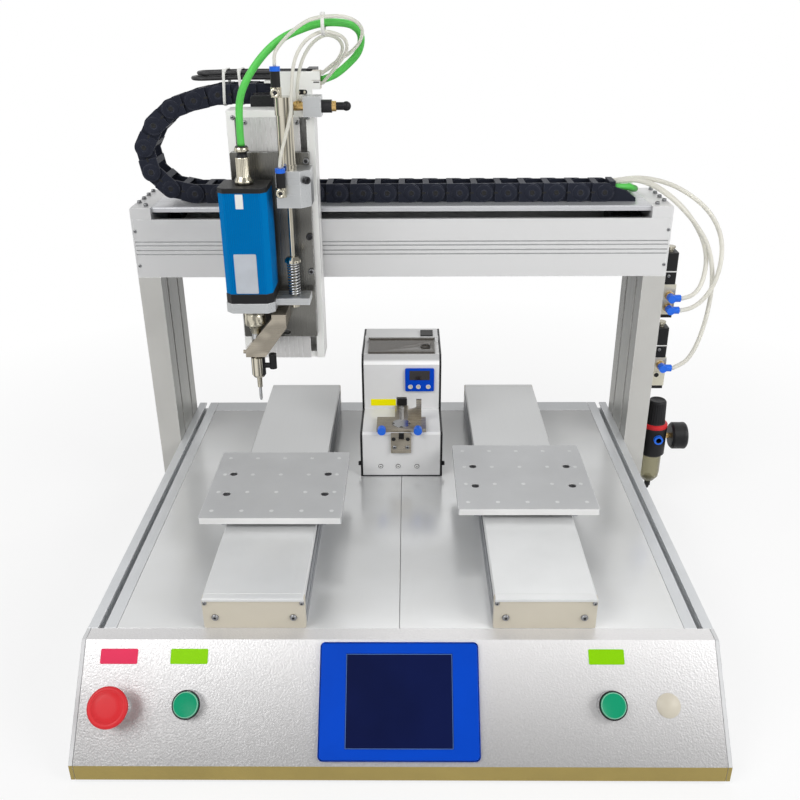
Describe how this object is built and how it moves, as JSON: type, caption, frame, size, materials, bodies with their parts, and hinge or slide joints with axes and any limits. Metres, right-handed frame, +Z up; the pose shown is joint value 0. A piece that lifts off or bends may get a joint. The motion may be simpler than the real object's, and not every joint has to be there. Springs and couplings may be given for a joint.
{
  "type": "automatic screw locking machine",
  "caption": "Bench-top gantry machine that drives screws: sliding tables on a console base, a lifting screwdriver head on a cross beam, a cable chain and a vibrating screw feeder.",
  "frame": {"origin": "on the bench, at the centre of the four bench-bolt holes under the middle of the base", "axes": "+X to the right seen from the operator, +Y to the rear, +Z up"},
  "size_m": [0.791, 0.6527, 0.6862],
  "materials": {
    "tray_paint": "satin paint",
    "frame_alu": "satin anodised",
    "deck_alu": "semi-gloss anodised",
    "console_alu": "satin, fine grain",
    "rubber": "matte",
    "electronics": "matte",
    "black_plastic": "satin",
    "chain_plastic": "satin",
    "blue_plastic": "satin",
    "screen": "glossy",
    "panel_metal": "polished",
    "module_alu": "satin anodised",
    "cream_paint": "satin paint",
    "steel": "ground",
    "motor_paint": "satin paint",
    "white_alu": "off-white anodised",
    "bracket_alu": "machined",
    "plate_alu": "bead blasted",
    "head_steel": "brushed",
    "bowl_clear": "smoky clear",
    "feeder_paint": "satin",
    "lid_clear": "smoked clear",
    "red_plastic": "glossy",
    "green_plastic": "glossy",
    "driver_blue": "blue anodised",
    "nickel": "knurled nickel",
    "tube_clear": "translucent",
    "cable_green": "satin",
    "cable_black": "satin"
  },
  "bodies": {
    "machine_base": {"base_tray": "tray_paint", "base_rails": "frame_alu", "deck_plates": "deck_alu", "front_console": "console_alu", "rubber_feet": "rubber", "control_electronics": "electronics", "power_inlet": "black_plastic", "hmi_bezel": "blue_plastic", "hmi_screen": "screen", "panel_fittings": "panel_metal", "y_housings": "module_alu", "axis_covers": "module_alu", "y_end_plates": "cream_paint", "guide_rails": "steel", "axis_drives": "motor_paint", "gantry_columns": "frame_alu", "x_housing": "white_alu", "x_end_blocks": "white_alu", "cable_chain": "chain_plastic", "valve_coils": "black_plastic", "valve_bodies": "bracket_alu", "regulator_body": "black_plastic", "regulator_bowl": "bowl_clear", "pressure_gauge": "black_plastic", "feeder_case": "feeder_paint", "feeder_side_panels": "black_plastic", "feeder_dispenser": "bracket_alu", "feeder_display": "blue_plastic", "valve_hoses": "tube_clear"},
    "lid": {"feeder_lid": "lid_clear"},
    "disc": {"feeder_disc": "steel"},
    "knob": {"regulator_knob": "black_plastic"},
    "estop": {"estop_button": "red_plastic"},
    "start_left": {"start_button_left": "green_plastic"},
    "start_right": {"start_button_right": "green_plastic"},
    "table_left": {"y_left_carriage": "module_alu", "y_left_plate": "plate_alu"},
    "table_right": {"y_right_carriage": "module_alu", "y_right_plate": "plate_alu"},
    "cross_carriage": {"x_carriage": "module_alu", "z_housing": "white_alu", "z_cover": "white_alu", "z_motor": "motor_paint", "z_bracket": "bracket_alu", "vacuum_ejector": "bracket_alu", "black_cables": "cable_black", "green_cable": "cable_green", "loop_tubes": "tube_clear"},
    "lift_head": {"z_slider": "module_alu", "head_plate": "head_steel", "air_cylinder": "bracket_alu", "nozzle_arm": "bracket_alu", "suction_nozzle": "steel"},
    "screwdriver": {"driver_body": "driver_blue", "driver_caps": "black_plastic", "driver_connector": "nickel", "driver_bracket": "bracket_alu", "cylinder_rod": "steel", "rod_spring": "steel"},
    "bit": {"driver_bit": "steel"}
  },
  "joints": [
    {"name": "cross_slide", "type": "slide", "parent": "machine_base", "child": "cross_carriage", "axis": [1, 0, 0], "range_m": [-0.1, 0.36], "deforming": ["cable_chain"]},
    {"name": "lift_slide", "type": "slide", "parent": "cross_carriage", "child": "lift_head", "axis": [0, 0, 1], "range_m": [-0.055, 0.035], "deforming": ["green_cable", "loop_tubes"]},
    {"name": "driver_slide", "type": "slide", "parent": "lift_head", "child": "screwdriver", "axis": [0, 0, 1], "range_m": [0, 0.04]},
    {"name": "bit_spin", "type": "hinge", "parent": "screwdriver", "child": "bit", "pos_m": [-0.184, 0.0965, 0.29], "axis": [0, 0, 1], "continuous": true},
    {"name": "left_table_slide", "type": "slide", "parent": "machine_base", "child": "table_left", "axis": [0, 1, 0], "range_m": [-0.14, 0.255]},
    {"name": "right_table_slide", "type": "slide", "parent": "machine_base", "child": "table_right", "axis": [0, 1, 0], "range_m": [-0.155, 0.24]},
    {"name": "estop_press", "type": "slide", "parent": "machine_base", "child": "estop", "axis": [0, 0.7276, -0.686], "range_m": [0, 0.005]},
    {"name": "start_left_press", "type": "slide", "parent": "machine_base", "child": "start_left", "axis": [0, 0.7276, -0.686], "range_m": [0, 0.003], "stiffness_N_per_m": 500, "springref_m": -0.002},
    {"name": "start_right_press", "type": "slide", "parent": "machine_base", "child": "start_right", "axis": [0, 0.7276, -0.686], "range_m": [0, 0.003], "stiffness_N_per_m": 500, "springref_m": -0.002},
    {"name": "feeder_lid_hinge", "type": "hinge", "parent": "machine_base", "child": "lid", "pos_m": [0, 0.2245, 0.258], "axis": [-1, 0, 0], "range_deg": [0, 85]},
    {"name": "feeder_disc_spin", "type": "hinge", "parent": "machine_base", "child": "disc", "pos_m": [0, 0.1075, 0.179], "axis": [0, 0, 1], "continuous": true},
    {"name": "regulator_knob_turn", "type": "hinge", "parent": "machine_base", "child": "knob", "pos_m": [0.377, 0.2265, 0.14], "axis": [0, 0, 1], "range_deg": [-180, 540]}
  ]
}
